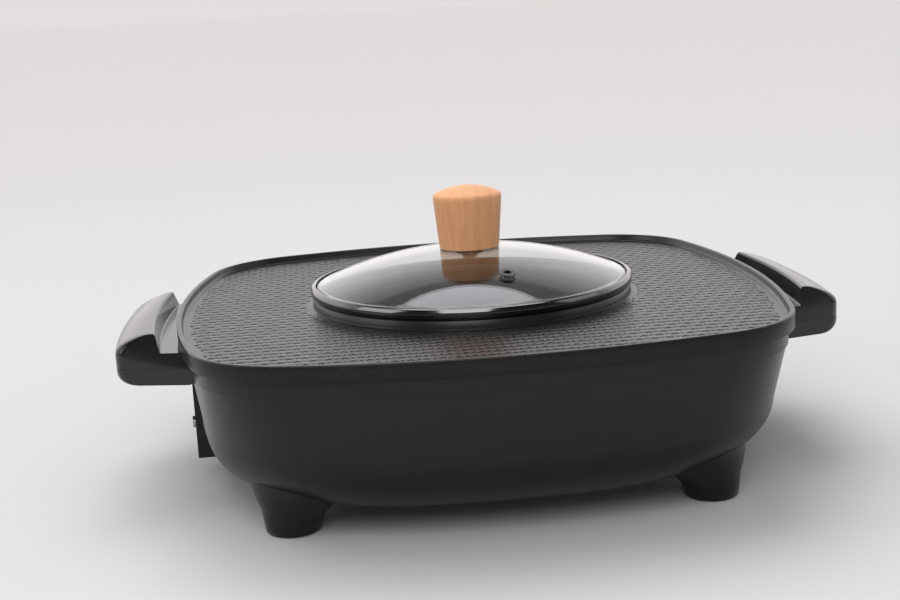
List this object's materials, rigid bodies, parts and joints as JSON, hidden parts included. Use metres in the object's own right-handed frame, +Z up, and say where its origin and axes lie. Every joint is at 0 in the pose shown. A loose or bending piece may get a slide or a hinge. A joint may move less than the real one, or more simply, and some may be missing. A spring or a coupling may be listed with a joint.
{
  "type": "electric hot pot with lid",
  "caption": "Countertop electric hot pot with a square griddle plate around a round pot, glass lid, side grips and rear heat dials.",
  "frame": {"origin": "centre of the base footprint on the supporting surface, under the middle of the pot", "axes": "+X from handle to handle, +Z up, the plain front faces -Y and the control panel faces +Y"},
  "size_m": [0.433, 0.362, 0.1697],
  "materials": {
    "cast_nonstick": "satin non-stick coating with fine flecks",
    "housing_black": "satin black",
    "handle_bakelite": "gloss black bakelite",
    "panel_plastic": "fine moulded black",
    "foot_rubber": "matte rubber",
    "zinc_steel": "zinc plated",
    "reflector_steel": "aluminised sheet",
    "cast_aluminium": "as cast and machined",
    "heater_sheath": "dark oxidised sheath",
    "ceramic": "unglazed steatite",
    "thermostat_phenolic": "brown phenolic",
    "lamp_lens": "translucent",
    "lamp_glass": "clear",
    "brass": "machined",
    "lead_insulation": "silicone sleeve",
    "dome_glass": "clear tempered glass",
    "band_steel": "polished stainless",
    "silicone": "soft silicone",
    "beech": "oiled beech"
  },
  "bodies": {
    "base": {"housing_shell": "housing_black", "inlet_housing": "housing_black", "foot_front_left": "housing_black", "foot_front_right": "housing_black", "foot_rear_left": "housing_black", "foot_rear_right": "housing_black", "handle_right_lower": "handle_bakelite", "handle_right_upper": "handle_bakelite", "handle_left_lower": "handle_bakelite", "handle_left_upper": "handle_bakelite", "control_panel": "panel_plastic", "inlet_socket": "panel_plastic", "foot_pads": "foot_rubber", "foot_screws": "zinc_steel", "handle_mount_screws": "zinc_steel", "handle_clamp_screws": "zinc_steel", "bottom_cover_screws": "zinc_steel", "reflector_screws": "zinc_steel", "panel_screws": "zinc_steel", "inlet_screws": "zinc_steel", "bottom_cover": "zinc_steel", "control_bracket": "zinc_steel", "heater_brackets": "zinc_steel", "fuse_clip": "zinc_steel", "hotplate_legs": "zinc_steel", "heat_reflector": "reflector_steel", "pot_hotplate": "cast_aluminium", "pot_heater_tube": "heater_sheath", "grill_heater_tube": "heater_sheath", "heater_bushings": "ceramic", "terminal_block": "ceramic", "thermal_fuse": "ceramic", "grill_thermostat": "thermostat_phenolic", "pot_thermostat": "thermostat_phenolic", "indicator_lenses": "lamp_lens", "indicator_lamps": "lamp_glass", "inlet_pins": "brass", "inlet_leads": "lead_insulation"},
    "pan": {"grill_pan": "cast_nonstick"},
    "lid": {"lid_glass": "dome_glass", "lid_rim": "band_steel", "vent_eyelet": "band_steel", "knob": "beech", "knob_insert": "brass", "knob_seal": "silicone", "knob_washer": "band_steel", "knob_screw": "band_steel"},
    "grill_dial": {"grill_dial": "panel_plastic", "grill_dial_shaft": "zinc_steel"},
    "pot_dial": {"pot_dial": "panel_plastic", "pot_dial_shaft": "zinc_steel"}
  },
  "joints": [
    {"name": "pan_lift", "type": "slide", "parent": "base", "child": "pan", "axis": [0, 0, 1], "range_m": [0, 0.09]},
    {"name": "lid_lift", "type": "slide", "parent": "pan", "child": "lid", "axis": [0, 0, 1], "range_m": [0, 0.12]},
    {"name": "grill_dial_turn", "type": "hinge", "parent": "base", "child": "grill_dial", "pos_m": [-0.036, 0.168, 0.047], "axis": [0, 1, 0], "range_deg": [0, 270]},
    {"name": "pot_dial_turn", "type": "hinge", "parent": "base", "child": "pot_dial", "pos_m": [0.036, 0.168, 0.047], "axis": [0, 1, 0], "range_deg": [0, 270]}
  ]
}
